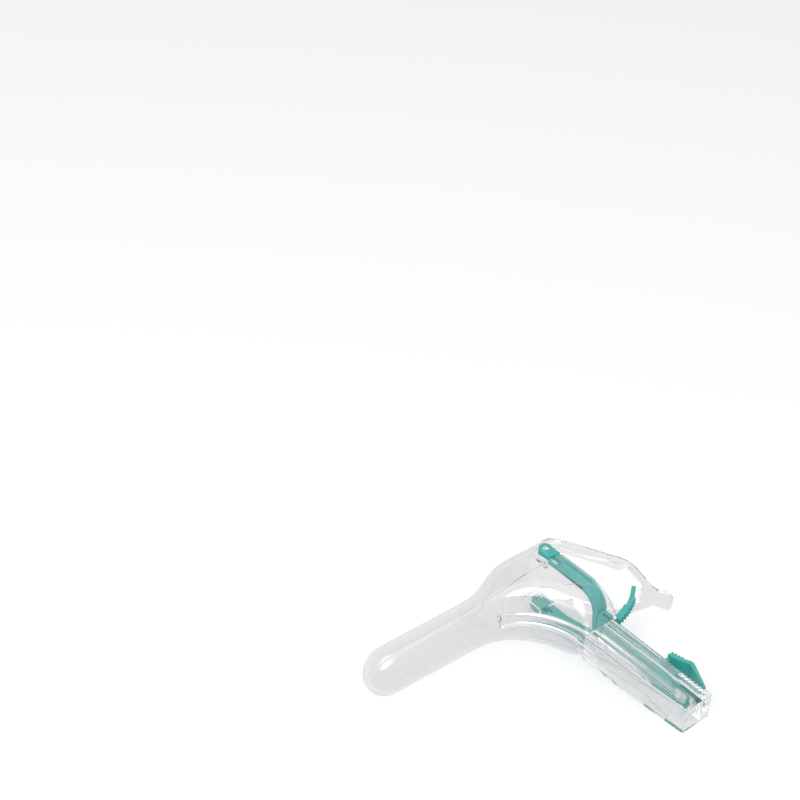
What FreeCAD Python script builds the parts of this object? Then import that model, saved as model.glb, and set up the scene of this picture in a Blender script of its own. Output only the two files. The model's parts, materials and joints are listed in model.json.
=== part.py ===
import FreeCAD, Part
import math
import os
import re
import Sketcher

# Bivalve speculum of clear plastic with a coloured yoke, lying on its side as it is put down.
# It is three mouldings that snap together: the lower blade with its handle and light guide,
# the upper blade with its hood and thumb lever, and the yoke with its stem, arc and latch.
#
# Everything is modelled in the product's own axes, in millimetres: the origin is on the pivot
# line half way between the arms, +X runs forward along the blades, +Y to the side that lies
# uppermost, and +Z away from the handle. The last section lays the product on its side.

Vector = FreeCAD.Vector
os.makedirs("parts", exist_ok=True)
doc = FreeCAD.newDocument("bivalve_speculum")

# Driving dimensions, in millimetres and degrees
SIZES = {
    "wall": 1.7,
    "parting_gap": 0.25,
    "cut_past": 1.0,
    "slide_gap": 0.2,
    "blade_tilt": 4.0,
    "parting_drop": 8.8,
    "blade_reach": 136.0,
    "nose_length": 16.0,
    "tip_rim": 3.0,
    "waist_at": 52.0,
    "waist_half_width": 16.6,
    "bill_half_width": 14.6,
    "upper_waist_height": 12.9,
    "upper_bill_height": 12.9,
    "lower_waist_depth": 7.6,
    "lower_bill_depth": 10.2,
    "hood_half_width": 22.3,
    "hood_height": 24.5,
    "hood_back": 4.2,
    "hood_taper_start": 14.0,
    "hood_drop_start": 27.0,
    "roundness": 2.45,
    "funnel_half_width": 23.4,
    "funnel_back": 3.6,
    "funnel_bend_top": 34.5,
    "funnel_bend_power": 1.5,
    "flare_share": 0.6,
    "heel_radius": 38.0,
    "handle_top": 56.0,
    "handle_end": 131.0,
    "handle_half_width": 8.8,
    "handle_front_top": 22.0,
    "handle_front_end": 19.8,
    "handle_bend": 86.0,
    "divider_front": 6.0,
    "divider_back": 4.6,
    "handle_wall": 1.6,
    "lip_front": 0.4,
    "lip_back": -0.6,
    "lip_reach": 1.4,
    "rack_top": 108.0,
    "rack_pitch": 2.65,
    "rack_teeth": 7.0,
    "rack_depth": 1.3,
    "rack_floor": 1.2,
    "rack_half_gap": 2.6,
    "bridge_height": 4.0,
    "stop_proud": 0.5,
    "mouth_depth": 13.0,
    "mouth_step": 0.4,
    "rail_at": 12.6,
    "rail_width": 1.2,
    "rail_height": 0.6,
    "pivot_radius": 1.9,
    "pin_gap": 0.05,
    "pin_inset": 0.3,
    "pin_hollow": 0.9,
    "pin_hollow_depth": 1.2,
    "boss_radius": 3.9,
    "boss_outer": 23.5,
    "boss_foot": 8.5,
    "arm_outer": 21.5,
    "arm_inner": 18.2,
    "arm_back": 3.6,
    "arm_front": 4.8,
    "yoke_bottom": 47.7,
    "yoke_bend": 14.5,
    "window_top": 7.4,
    "window_height": 5.6,
    "window_back": 0.2,
    "window_front": 4.0,
    "trough_step": 0.8,
    "trough_back": 1.9,
    "trough_front": 3.1,
    "trough_depth": 1.4,
    "prong_length": 5.3,
    "prong_depth": 2.4,
    "prong_inner": 4.4,
    "prong_outer": 7.4,
    "cheek_top": 7.5,
    "recess_gap": 1.0,
    "stem_half_width": 7.0,
    "stem_back": 0.6,
    "stem_front": 4.3,
    "stem_end": 107.0,
    "arc_inner": 52.6,
    "arc_thickness": 2.6,
    "arc_tooth": 1.4,
    "arc_half_width": 2.2,
    "arc_start": 9.0,
    "arc_end": 41.0,
    "arc_teeth_end": 33.0,
    "arc_teeth": 8.0,
    "arc_step": 1.0,
    "arc_step_end": 23.0,
    "tooth_root": 0.4,
    "lever_angle": 27.0,
    "lever_front": 4.0,
    "lever_back": 11.8,
    "lever_plate": 2.3,
    "lever_inset": 0.3,
    "lever_side": 2.8,
    "lever_start": 4.4,
    "lever_deep_end": 44.0,
    "lever_corner": 48.3,
    "hole_gap": 1.0,
    "hole_corner": 45.0,
    "hole_margin": 1.2,
    "hole_round": 4.0,
    "pawl_gap": 0.4,
    "web_slope": 4.5,
    "shoulder_round": 17.0,
    "neck_length": 6.4,
    "neck_round": 8.0,
    "lever_length": 76.5,
    "tab_half_width": 6.8,
    "tab_round": 4.5,
    "root_width": 2.6,
    "root_behind": 5.4,
    "root_height": 3.0,
    "root_slope": 1.3,
    "latch_thickness": 2.4,
    "latch_half_width": 8.4,
    "latch_root": 93.0,
    "root_thickness": 4.0,
    "pad_top": 94.6,
    "pad_start": 5.0,
    "pad_edge": 7.4,
    "pad_end": 9.3,
    "pad_length": 8.6,
    "pad_ridge": 0.8,
    "latch_crest": 106.6,
    "latch_height": 11.2,
    "crest_width": 2.2,
    "latch_tip": 125.3,
    "latch_gap": 0.2,
    "tip_width": 1.6,
    "guide_width": 5.4,
    "guide_depth": 6.0,
    "guide_gap": 0.35,
    "guide_start": 17.0,
    "guide_end": 64.0,
}

sheet = doc.addObject("Spreadsheet::Sheet", "Sizes")
for row, (alias, number) in enumerate(SIZES.items(), start=1):
    sheet.set("A%d" % row, alias.replace("_", " "))
    sheet.set("B%d" % row, str(number))
    sheet.setAlias("B%d" % row, alias)
doc.recompute()


def bound(text):
    """An expression whose size names point at the sheet's cells."""
    return re.sub(r"[a-z_]+", lambda found: "Sizes." + found[0] if found[0] in SIZES else found[0], str(text))


def size(text):
    """The number that an expression of size names stands for now."""
    return float(sheet.evalExpression(bound(text)))


# Short steps that every body uses

def new_body(name):
    body = doc.addObject("PartDesign::Body", name)
    body.Label = name
    return body


def plane_of(body, role):
    return next(plane for plane in body.Origin.OriginFeatures if plane.Role == role)


def new_sketch(body, name, role, lift="0"):
    """A sketch on one of the body's own planes, lifted along the plane's normal."""
    sketch = body.newObject("Sketcher::SketchObject", body.Name + "_" + name)
    sketch.AttachmentSupport = [(plane_of(body, role), "")]
    sketch.MapMode = "FlatFace"
    sketch.setExpression("AttachmentOffset.Base.z", bound(lift))
    return sketch


def arc_from(start, end, radius):
    """The arc that runs clockwise from start to end about a centre on the right of its chord."""
    chord = end - start
    reach = math.sqrt(radius ** 2 - chord.Length ** 2 / 4) / chord.Length
    centre = (start + end) * 0.5 + Vector(chord.y, -chord.x, 0) * reach
    turns = [math.atan2(place.y - centre.y, place.x - centre.x) for place in (end, start)]
    return Part.ArcOfCircle(Part.Circle(centre, Vector(0, 0, 1), radius), *turns)


def outline(body, name, role, corners, lift="0", bends={}):
    """A closed outline; each corner is a pair of expressions, and bends holds the radius of each side
    that leaves its corner as a clockwise arc."""
    sketch = new_sketch(body, name, role, lift)
    places = [Vector(size(across), size(up), 0) for across, up in corners]
    count = len(places)
    for index, place in enumerate(places):
        after = places[(index + 1) % count]
        side = arc_from(place, after, size(bends[index])) if index in bends else Part.LineSegment(place, after)
        sketch.addGeometry(side, False)
    first = [2 if index in bends else 1 for index in range(count)]
    for index in range(count):
        after = (index + 1) % count
        sketch.addConstraint(Sketcher.Constraint("Coincident", index, 3 - first[index], after, first[after]))
    for index, (across, up) in enumerate(corners):
        for kind, text in (("DistanceX", across), ("DistanceY", up)):
            number = sketch.addConstraint(Sketcher.Constraint(kind, -1, 1, index, first[index], size(text)))
            sketch.setExpression("Constraints[%d]" % number, bound(text))
    for index, radius in bends.items():
        number = sketch.addConstraint(Sketcher.Constraint("Radius", index, size(radius)))
        sketch.setExpression("Constraints[%d]" % number, bound(radius))
    return sketch


def circles(body, name, role, radius, lift="0", centres=(("0", "0"),)):
    """Equal circles, each centre a pair of expressions."""
    sketch = new_sketch(body, name, role, lift)
    for index, centre in enumerate(centres):
        middle = Vector(size(centre[0]), size(centre[1]), 0)
        sketch.addGeometry(Part.Circle(middle, Vector(0, 0, 1), size(radius)), False)
        for kind, text in (("DistanceX", centre[0]), ("DistanceY", centre[1])):
            number = sketch.addConstraint(Sketcher.Constraint(kind, -1, 1, index, 3, size(text)))
            sketch.setExpression("Constraints[%d]" % number, bound(text))
        number = sketch.addConstraint(Sketcher.Constraint("Radius", index, size(radius)))
        sketch.setExpression("Constraints[%d]" % number, bound(radius))
    return sketch


def pad(sketch, length, both_sides=False, reverse=False, kind="PartDesign::Pad"):
    """Material pushed out from a sketch by an expression's length."""
    body = sketch.getParentGeoFeatureGroup()
    feature = body.newObject(kind, sketch.Name + "_run")
    feature.Profile = sketch
    feature.SideType = "Symmetric" if both_sides else "One side"
    feature.Reversed = reverse
    feature.setExpression("Length", bound(length))
    doc.recompute()
    return feature


def pocket(sketch, length, both_sides=False, reverse=False):
    """Material cut away along a sketch by an expression's length."""
    body = sketch.getParentGeoFeatureGroup()
    before = body.Shape.Volume
    feature = pad(sketch, length, both_sides, reverse, "PartDesign::Pocket")
    if body.Shape.Volume > before - 1e-6:
        raise RuntimeError(sketch.Name + " cuts nothing")
    return feature


def mirror_across(feature, role):
    """The feature again on the other side of one of the body's planes."""
    body = feature.getParentGeoFeatureGroup()
    mirrored = body.newObject("PartDesign::Mirrored", feature.Name + "_twin")
    mirrored.Originals = [feature]
    mirrored.MirrorPlane = (plane_of(body, role), "")
    body.Tip = mirrored
    doc.recompute()
    return mirrored


def repeat_along(feature, axis_role, step, count, reverse=False):
    """The feature again at equal steps along one of the body's axes."""
    body = feature.getParentGeoFeatureGroup()
    pattern = body.newObject("PartDesign::LinearPattern", feature.Name + "_row")
    pattern.Originals = [feature]
    pattern.Direction = (plane_of(body, axis_role), "")
    pattern.Reversed = reverse
    pattern.Mode = "Spacing"
    pattern.setExpression("Offset", bound(step))
    pattern.setExpression("Occurrences", bound(count))
    body.Tip = pattern
    doc.recompute()
    return pattern


def round_edges(body, wanted, radius):
    """A fillet on the edges of the body's last feature for which wanted(edge) holds."""
    base = body.Tip
    names = ["Edge%d" % (index + 1) for index, edge in enumerate(base.Shape.Edges) if wanted(edge)]
    fillet = body.newObject("PartDesign::Fillet", body.Name + "_fillet")
    fillet.Base = (base, names)
    fillet.setExpression("Radius", bound(radius))
    doc.recompute()
    return fillet


def along_x_at(across, up):
    """A test for the straight edges along X at this height and this far to either side."""
    def wanted(edge):
        middle = edge.CenterOfMass
        straight = abs(edge.BoundBox.XLength - edge.Length) < 1e-4
        return straight and abs(abs(middle.y) - size(across)) < 1e-3 and abs(middle.z - size(up)) < 1e-3
    return wanted


def along_z_at(along, across):
    """A test for the straight edges along Z at this length and this far to either side."""
    def wanted(edge):
        middle = edge.CenterOfMass
        straight = abs(edge.BoundBox.ZLength - edge.Length) < 1e-4
        return straight and abs(abs(middle.y) - size(across)) < 1e-3 and abs(middle.x - size(along)) < 1e-3
    return wanted


def plain_feature(name, shape):
    feature = doc.addObject("Part::Feature", name)
    feature.Label = name
    feature.Shape = shape
    return feature


# Blade axes: U runs along the closed blades from below the pivot, W is square to it and up

TILT = math.radians(size("blade_tilt"))
BLADE_ORIGIN = Vector(0, 0, -size("parting_drop"))
U_AXIS = Vector(math.cos(TILT), 0, math.sin(TILT))
W_AXIS = Vector(-math.sin(TILT), 0, math.cos(TILT))
REACH = size("blade_reach")
NOSE = size("nose_length")
WALL = size("wall")
ROUNDNESS = size("roundness")
SHOULDER_ROUNDNESS = 5.0
SECTION_SIDES = 20
BIG = 4 * REACH


def on_blade(along, up=0.0):
    return BLADE_ORIGIN + U_AXIS * along + W_AXIS * up


def ease(start, end, place):
    """0 before start, 1 after end and an S-curve between them."""
    share = min(1.0, max(0.0, (place - start) / (end - start)))
    return share * share * (3 - 2 * share)


def between(first, second, share):
    return first + (second - first) * share


def nose_scale(along, reach, nose):
    """How much of its full section the blade keeps towards its rounded tip."""
    past = max(0.0, (along - reach + nose) / nose)
    return math.sqrt(max(0.0, 1 - past * past))


def dome_curve(middle, side, depth, half_width, deep, power):
    """Half a superellipse in short sides, from side to side of middle and deep along the depth direction."""
    points = []
    for step in range(SECTION_SIDES + 1):
        turn = math.pi * step / SECTION_SIDES
        across = math.copysign(abs(math.cos(turn)) ** (2 / power), math.cos(turn))
        down = math.sin(turn) ** (2 / power) if 0 < step < SECTION_SIDES else 0.0
        points.append(middle + side * (half_width * across) + depth * (deep * down))
    return [Part.makeLine(start, end) for start, end in zip(points, points[1:])]


SIDE = Vector(0, 1, 0)


def dome_section(middle, depth, half_width, deep, power, skirt=0.0):
    """A closed section: the dome curve, with straight sides of length skirt behind it."""
    curve = dome_curve(middle, SIDE, depth, half_width, deep, power)
    start = middle + SIDE * half_width
    end = middle - SIDE * half_width
    if skirt == 0:
        return Part.Wire([*curve, Part.makeLine(end, start)])
    back = depth * -skirt
    return Part.Wire([*curve, Part.makeLine(end, end + back),
                      Part.makeLine(end + back, start + back), Part.makeLine(start + back, start)])


# Upper blade with its hood

def upper_half_width(along):
    hood = size("hood_half_width")
    waist = size("waist_half_width")
    bill = size("bill_half_width")
    blade = between(waist, bill, max(0.0, (along - size("waist_at")) / (REACH - NOSE - size("waist_at"))))
    return between(hood, blade, ease(size("hood_taper_start"), size("waist_at"), along))


def upper_height(along):
    blade = between(size("upper_waist_height"), size("upper_bill_height"),
                    max(0.0, (along - size("waist_at")) / (REACH - NOSE - size("waist_at"))))
    return between(size("hood_height"), blade, ease(size("hood_drop_start"), size("waist_at"), along))


# Where the sections stand, as shares of the stretches that they follow
HOOD_SHARES = (0.0, 0.21, 0.37, 0.5, 0.63, 0.76, 0.92)
BILL_SHARES = (0.07, 0.55)
HEEL_SHARES = (0.0, 0.12, 0.23, 0.35, 0.47, 0.57, 0.66, 0.75, 0.84, 0.88, 0.94, 1.0)
WAIST_SHARE = 0.28
NOSE_TURNS = (0, 30, 52, 70, 84)


def nose_stations(reach, nose):
    """Places along the nose that crowd towards its tip."""
    return [reach - nose + nose * math.sin(math.radians(turn)) for turn in NOSE_TURNS]


def upper_solid(inset, rim):
    """The upper blade's outer form, or its hollow where inset is the wall and rim the tip's thickness."""
    reach = REACH - rim
    stations = [-2 * size("hood_back")]
    stations += [between(size("hood_taper_start"), size("waist_at"), share) for share in HOOD_SHARES]
    stations += [between(size("waist_at"), reach - NOSE, share) for share in BILL_SHARES]
    stations += nose_stations(reach, NOSE)
    sections = []
    for along in stations:
        scale = nose_scale(along, reach, NOSE)
        half = (upper_half_width(along) - inset) * scale
        high = (upper_height(along) - inset) * scale
        sections.append(dome_section(on_blade(along), W_AXIS, half, high, ROUNDNESS))
    return Part.makeLoft(sections, True, True)


def block(low, high):
    """A box between two opposite corners."""
    span = high - low
    return Part.makeBox(span.x, span.y, span.z, low)


def hood_recess(side):
    """The space beside the hood where one boss and arm of the yoke move."""
    front = size("arm_front + recess_gap")
    inner = size("arm_inner - slide_gap")
    low = Vector(-BIG, min(side * inner, side * BIG), -BIG)
    high = Vector(front, max(side * inner, side * BIG), size("boss_radius + recess_gap"))
    return block(low, high)


def cheek(side):
    """The flat cheek inside one arm, which carries the pivot stud."""
    outer = size("arm_inner - slide_gap")
    inner = outer - WALL
    low = Vector(-size("hood_back"), min(side * inner, side * outer), -size("parting_drop"))
    high = Vector(size("arm_front + recess_gap + wall"), max(side * inner, side * outer), size("cheek_top"))
    return block(low, high)


def cheek_step(side):
    """The wall in front of and above one boss, from the cheek out to the hood's wall."""
    inner = size("arm_inner - slide_gap") - WALL
    outer = size("hood_half_width")
    front = size("arm_front + recess_gap")
    top = size("boss_radius + recess_gap")
    low = Vector(-size("hood_back"), min(side * inner, side * outer), -BIG)
    high = Vector(front + WALL, max(side * inner, side * outer), top + WALL)
    return block(low, high)


def stud(side):
    """The pivot stud that snaps into one boss."""
    outward = SIDE * side
    start = outward * size("arm_inner - slide_gap")
    end = outward * size("boss_outer - pin_inset")
    pin = Part.makeCylinder(size("pivot_radius"), (end - start).Length, start, outward)
    return pin.cut(Part.makeCylinder(size("pin_hollow"), size("pin_hollow_depth"), end, outward * -1))


def parting_space(lift):
    """All space above the parting plane, lifted by lift."""
    space = Part.makeBox(2 * BIG, 2 * BIG, BIG)
    turn = FreeCAD.Rotation(Vector(0, 1, 0), -math.degrees(TILT))
    space.Placement = FreeCAD.Placement(on_blade(-BIG, lift) - SIDE * BIG, turn)
    return space


def upper_blade_shape():
    behind = block(Vector(-BIG, -BIG, -BIG), Vector(-size("hood_back"), BIG, BIG))
    outer = upper_solid(0.0, 0.0)
    shell = outer.cut(upper_solid(WALL, size("tip_rim")))
    for side in (-1, 1):
        shell = shell.cut(hood_recess(side))
        walls = cheek_step(side).cut(hood_recess(side)).fuse(cheek(side))
        shell = shell.fuse(walls.common(outer).common(parting_space(0)))
        shell = shell.fuse(stud(side))
    return shell.cut(behind)


plain_feature("upper_blade", upper_blade_shape())


# Lower blade with its funnel and heel

HEEL = size("heel_radius")
HEEL_START = (size("handle_front_top") + HEEL - (size("lower_waist_depth") + HEEL) * math.sin(TILT)) / math.cos(TILT)
HEEL_CENTRE = on_blade(HEEL_START, -size("lower_waist_depth") - HEEL)


def lower_half_width(along):
    waist = size("waist_half_width")
    bill = size("bill_half_width")
    return between(waist, bill, max(0.0, (along - size("waist_at")) / (REACH - NOSE - size("waist_at"))))


def lower_depth(along):
    share = (along - HEEL_START) / (REACH - NOSE - HEEL_START)
    return between(size("lower_waist_depth"), size("lower_bill_depth"), min(1.0, max(0.0, share)))


def funnel_half_width(height):
    """Half the funnel's width at its mouth, which closes in on the handle below the bend."""
    narrow = size("handle_half_width")
    top = -size("funnel_bend_top")
    share = min(1.0, max(0.0, (top - height) / (top + size("handle_top"))))
    power = size("funnel_bend_power")
    return narrow + (size("funnel_half_width") - narrow) * (1 - share ** power) ** (1 / power)


def lower_solid(inset, rim):
    """The lower blade's outer form, or its hollow where inset is the wall and rim the tip's thickness."""
    reach = REACH - rim
    skirt = size("2 * funnel_half_width")
    stations = [*reversed(nose_stations(reach, NOSE)), between(HEEL_START, reach - NOSE, WAIST_SHARE)]
    sections = []
    for along in stations:
        scale = nose_scale(along, reach, NOSE)
        half = (lower_half_width(along) - inset) * scale
        deep = (lower_depth(along) - inset) * scale
        sections.append(dome_section(on_blade(along), W_AXIS * -1, half, deep, ROUNDNESS, skirt * scale))
    flat = size("handle_front_top") - size("arm_front")
    mouth = HEEL_CENTRE.x + size("funnel_back")
    for share in HEEL_SHARES:
        rise = (1 - share) * (math.pi / 2 - TILT)
        spoke = Vector(-math.cos(rise), 0, math.sin(rise))
        flare = ease(0, size("flare_share"), share)
        deep = between(size("lower_waist_depth"), flat, flare)
        height = HEEL_CENTRE.z + mouth * math.tan(rise)
        half = between(size("waist_half_width"), funnel_half_width(height), flare)
        sections.append(dome_section(HEEL_CENTRE + spoke * (HEEL + deep), spoke * -1,
                                     half - inset, deep - inset, ROUNDNESS, skirt))
    return Part.makeLoft(sections, True, True)


def shoulder_solid(inset):
    """The short neck between the funnel and the top of the handle."""
    flat = size("handle_front_top") - size("arm_front")
    sections = []
    for height, power in ((HEEL_CENTRE.z, ROUNDNESS), (-size("handle_top"), SHOULDER_ROUNDNESS)):
        middle = Vector(size("arm_front"), 0, height)
        sections.append(dome_section(middle, Vector(1, 0, 0), funnel_half_width(height) - inset,
                                     flat - inset, power, 2 * size("handle_half_width")))
    return Part.makeLoft(sections, True, True)


def lower_blade_shape():
    behind = block(Vector(-BIG, -BIG, -BIG), Vector(-size("funnel_back"), BIG, BIG))
    top = parting_space(-size("parting_gap"))
    hollow = lower_solid(WALL, size("tip_rim")).cut(parting_space(WALL))
    shell = lower_solid(0.0, 0.0).cut(top).cut(behind).cut(hollow)
    neck = shoulder_solid(0.0).cut(behind).cut(shoulder_solid(WALL))
    return shell.fuse(neck)


plain_feature("lower_blade", lower_blade_shape())


# Light guide: a clear bar that follows the inside of the heel from the handle to the blade

guide = new_body("light_guide")
guide_out = "heel_radius + wall + guide_gap"
bar = outline(guide, "section", "XY_Plane", [
    ("-(%s)" % guide_out, "-guide_width / 2"), ("-(%s)" % guide_out, "guide_width / 2"),
    ("-(%s + guide_depth)" % guide_out, "guide_width / 2"), ("-(%s + guide_depth)" % guide_out, "-guide_width / 2")])
curve = guide.newObject("PartDesign::Revolution", "guide_curve")
curve.Profile = bar
curve.ReferenceAxis = (bar, ["V_Axis"])
curve.setExpression("Angle", bound("90 - blade_tilt - guide_start"))
doc.recompute()
straight = pad(bar, "guide_end + %f" % HEEL_CENTRE.z, reverse=True)
guide.Placement = FreeCAD.Placement(HEEL_CENTRE, FreeCAD.Rotation())


# Handle: a box that takes the light source, and a channel behind it for the yoke's stem

handle = new_body("handle")
inside = "(handle_half_width - handle_wall)"
over = "(cut_past - handle_top)"
stop = "(bridge_height - handle_end)"
pad(outline(handle, "outside", "XZ_Plane", [
    ("lip_back", "-handle_top"), ("handle_front_top", "-handle_top"), ("handle_front_top", "-handle_bend"),
    ("handle_front_end", "-handle_end"), ("lip_back - stop_proud", "-handle_end"), ("lip_back - stop_proud", stop),
    ("lip_back", stop)]), "2 * handle_half_width", both_sides=True)
pocket(outline(handle, "box", "XZ_Plane", [
    ("divider_front", over), ("handle_front_top - handle_wall", over),
    ("handle_front_top - handle_wall", "-handle_bend"), ("handle_front_end - handle_wall", "-handle_end - cut_past"),
    ("divider_front", "-handle_end - cut_past")]), "2 * " + inside, both_sides=True)
pocket(outline(handle, "mouth", "XZ_Plane", [
    ("divider_front", "mouth_depth - handle_end"), ("handle_front_end - handle_wall + mouth_step", "mouth_depth - handle_end"),
    ("handle_front_end - handle_wall + mouth_step", "-handle_end - cut_past"), ("divider_front", "-handle_end - cut_past")]),
    "2 * (%s - rail_height)" % inside, both_sides=True)
rail = pad(outline(handle, "rail", "XZ_Plane", [
    ("rail_at", "-handle_top"), ("rail_at + rail_width", "-handle_top"),
    ("rail_at + rail_width", "mouth_depth - handle_end"), ("rail_at", "mouth_depth - handle_end")],
    "%s - rail_height" % inside), "rail_height")
mirror_across(rail, "XZ_Plane")
pocket(outline(handle, "channel", "XZ_Plane", [
    ("lip_front", over), ("divider_back", over), ("divider_back", "-rack_top"), ("lip_front", "-rack_top")]),
    "2 * " + inside, both_sides=True)
pocket(outline(handle, "slot", "XZ_Plane", [
    ("lip_back - cut_past", over), ("lip_front", over), ("lip_front", "-rack_top"),
    ("lip_back - cut_past", "-rack_top")]), "2 * (%s - lip_reach)" % inside, both_sides=True)


# Rack: two rows of teeth at the channel's lower end, with a gap between them

rack_front = "(lip_back + rack_depth + rack_floor)"
pocket(outline(handle, "rack_room", "XZ_Plane", [
    (rack_front, "-rack_top"), ("divider_back", "-rack_top"), ("divider_back", stop), (rack_front, stop)]),
    "2 * " + inside, both_sides=True)
pocket(outline(handle, "rack_gap", "XZ_Plane", [
    ("lip_back - cut_past", "-rack_top"), (rack_front, "-rack_top"), (rack_front, stop),
    ("lip_back - cut_past", stop)]), "2 * rack_half_gap", both_sides=True)
notch = pocket(outline(handle, "notch", "XZ_Plane", [
    ("lip_back - cut_past", "-rack_top"), ("lip_back", "-rack_top"),
    ("lip_back + rack_depth", "-rack_top - rack_pitch / 4"), ("lip_back", "-rack_top - rack_pitch"),
    ("lip_back - cut_past", "-rack_top - rack_pitch")]),
    "2 * (handle_half_width + cut_past)", both_sides=True)
repeat_along(notch, "XY_Plane", "rack_pitch", "rack_teeth", reverse=True)


# Yoke: a U-shaped frame whose arms carry the upper blade's studs

yoke = new_body("yoke")
arm = "(arm_outer - arm_inner)"
pad(outline(yoke, "frame", "YZ_Plane", [
    ("arm_outer", "0"), ("arm_outer", "-yoke_bottom"), ("-arm_outer", "-yoke_bottom"), ("-arm_outer", "0"),
    ("-arm_inner", "0"), ("-arm_inner", arm + " - yoke_bottom"),
    ("arm_inner", arm + " - yoke_bottom"), ("arm_inner", "0")], lift="-arm_back"),
    "arm_back + arm_front")


round_edges(yoke, along_x_at("arm_outer", "-yoke_bottom"), "yoke_bend")
round_edges(yoke, along_x_at("arm_inner", arm + " - yoke_bottom"), "yoke_bend - " + arm)
boss = pad(circles(yoke, "boss", "XZ_Plane", "boss_radius", "-arm_inner"), "boss_outer - arm_inner", reverse=True)
foot = pad(outline(yoke, "foot", "XZ_Plane", [
    ("-arm_back", "0"), ("arm_front", "0"), ("arm_front", "-boss_foot"), ("-arm_back", "-boss_foot")],
    "-arm_outer"), "boss_outer - arm_outer", reverse=True)
twins = mirror_across(boss, "XZ_Plane")
twins.Originals = [boss, foot]
doc.recompute()
pocket(circles(yoke, "pivot", "XZ_Plane", "pivot_radius + pin_gap"), "2 * (boss_outer + cut_past)", both_sides=True)
pocket(outline(yoke, "window", "XZ_Plane", [
    ("window_back", "-window_top"), ("window_front", "-window_top"),
    ("window_front", "-window_top - window_height"), ("window_back", "-window_top - window_height")]),
    "2 * (boss_outer + cut_past)", both_sides=True)
trough_top = "-(window_top + window_height + trough_step)"
trough_side = "(arm_outer - trough_depth)"
bend_side = "(arm_outer - yoke_bend)"
trough = pocket(outline(yoke, "trough", "YZ_Plane", [
    ("arm_outer + cut_past", trough_top), (trough_side, trough_top), (trough_side, "yoke_bend - yoke_bottom"),
    (bend_side, "trough_depth - yoke_bottom"), (bend_side, "-yoke_bottom - cut_past"),
    ("arm_outer + cut_past", "-yoke_bottom - cut_past")],
    lift="trough_front", bends={2: "yoke_bend - trough_depth"}), "trough_front + trough_back")
mirror_across(trough, "XZ_Plane")
arc_root = "(arc_inner - arc_step)"
arc_outer = "(arc_inner + arc_thickness)"
pad(outline(yoke, "tongue", "XZ_Plane", [
    ("-arm_back", arm + " - yoke_bottom"), ("-arm_back", "-yoke_bottom"),
    ("-%s * sin(arc_start)" % arc_outer, "-%s * cos(arc_start)" % arc_outer),
    ("-%s * sin(arc_start)" % arc_root, "-%s * cos(arc_start)" % arc_root)]),
    "2 * arc_half_width", both_sides=True)
prong = pad(outline(yoke, "prong", "XZ_Plane", [
    ("-arm_back", "-yoke_bottom"), ("prong_depth - arm_back", "-yoke_bottom"),
    ("prong_depth - arm_back", "-yoke_bottom - prong_length"), ("-arm_back", "-yoke_bottom - prong_length")],
    "prong_inner"), "prong_outer - prong_inner")
mirror_across(prong, "XZ_Plane")


# Stem: the flat bar of the yoke that slides in the handle's channel

stem = new_body("slide_stem")
pad(outline(stem, "bar", "XZ_Plane", [
    ("stem_back", "-yoke_bottom"), ("stem_front", "-yoke_bottom"), ("stem_front", "-stem_end"),
    ("stem_back", "-stem_end")]), "2 * stem_half_width", both_sides=True)


# Toothed arc: it runs through the thumb lever's opening and holds the blades apart

arc = new_body("angle_ratchet")


def arc_strip(name, inner, angle):
    """A strip of the arc from the inner radius outwards, turned through an angle from the root."""
    section = outline(arc, name, "XY_Plane", [
        (inner, "-arc_half_width"), (arc_outer, "-arc_half_width"),
        (arc_outer, "arc_half_width"), (inner, "arc_half_width")])
    strip = arc.newObject("PartDesign::Revolution", "arc_" + name + "_run")
    strip.Profile = section
    strip.ReferenceAxis = (section, ["V_Axis"])
    strip.setExpression("Angle", bound(angle))
    doc.recompute()
    return section


arc_section = arc_strip("blade", "arc_inner", "arc_end - arc_start")
arc_strip("back", arc_root, "arc_step_end - arc_start")
tooth_turn = "((arc_teeth_end - arc_start) / arc_teeth)"
tooth_foot = "(%s - tooth_root)" % arc_outer
tooth = pad(outline(arc, "tooth", "XZ_Plane", [
    (tooth_foot, "0"), (arc_outer + " + arc_tooth", "0"),
    ("%s * cos(%s)" % (arc_outer, tooth_turn), "-%s * sin(%s)" % (arc_outer, tooth_turn)),
    ("%s * cos(%s)" % (tooth_foot, tooth_turn), "-%s * sin(%s)" % (tooth_foot, tooth_turn))]),
    "2 * arc_half_width", both_sides=True)
teeth = arc.newObject("PartDesign::PolarPattern", "arc_teeth_run")
teeth.Originals = [tooth]
teeth.Axis = (arc_section, ["V_Axis"])
teeth.Mode = "Spacing"
teeth.setExpression("Offset", bound(tooth_turn))
teeth.setExpression("Occurrences", bound("arc_teeth"))
arc.Tip = teeth
doc.recompute()
arc.Placement = FreeCAD.Placement(Vector(), FreeCAD.Rotation(Vector(0, 1, 0), 90 + size("arc_start")))


# Latch: the thumb pad at the stem's lower end, bent so that its tip meets the rack

latch = new_body("slide_latch")
pad_low = "(pad_top + pad_length)"
pad(outline(latch, "strip", "XZ_Plane", [
    ("-pad_start", "-pad_top"), ("-pad_edge", "-pad_top - crest_width / 4"), ("-pad_end", "-" + pad_low),
    ("-latch_height", "-latch_crest"), ("-latch_height", "-latch_crest - crest_width"),
    ("lip_back - latch_gap - tip_width", "-latch_tip"), ("lip_back - latch_gap", "-latch_tip - tip_width / 3"),
    ("latch_thickness - latch_height", "-latch_crest - crest_width / 2"),
    ("latch_thickness - pad_end", "-" + pad_low), ("latch_thickness - pad_edge", "-pad_top - latch_thickness")]),
    "2 * latch_half_width", both_sides=True)
pad(outline(latch, "root", "XZ_Plane", [
    ("stem_back", "-latch_root"), ("stem_back", "-latch_root - root_thickness"),
    ("latch_thickness - pad_edge", "-pad_top - latch_thickness"), ("-pad_start", "-pad_top")]),
    "2 * (handle_half_width - handle_wall - lip_reach - slide_gap)", both_sides=True)
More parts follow.
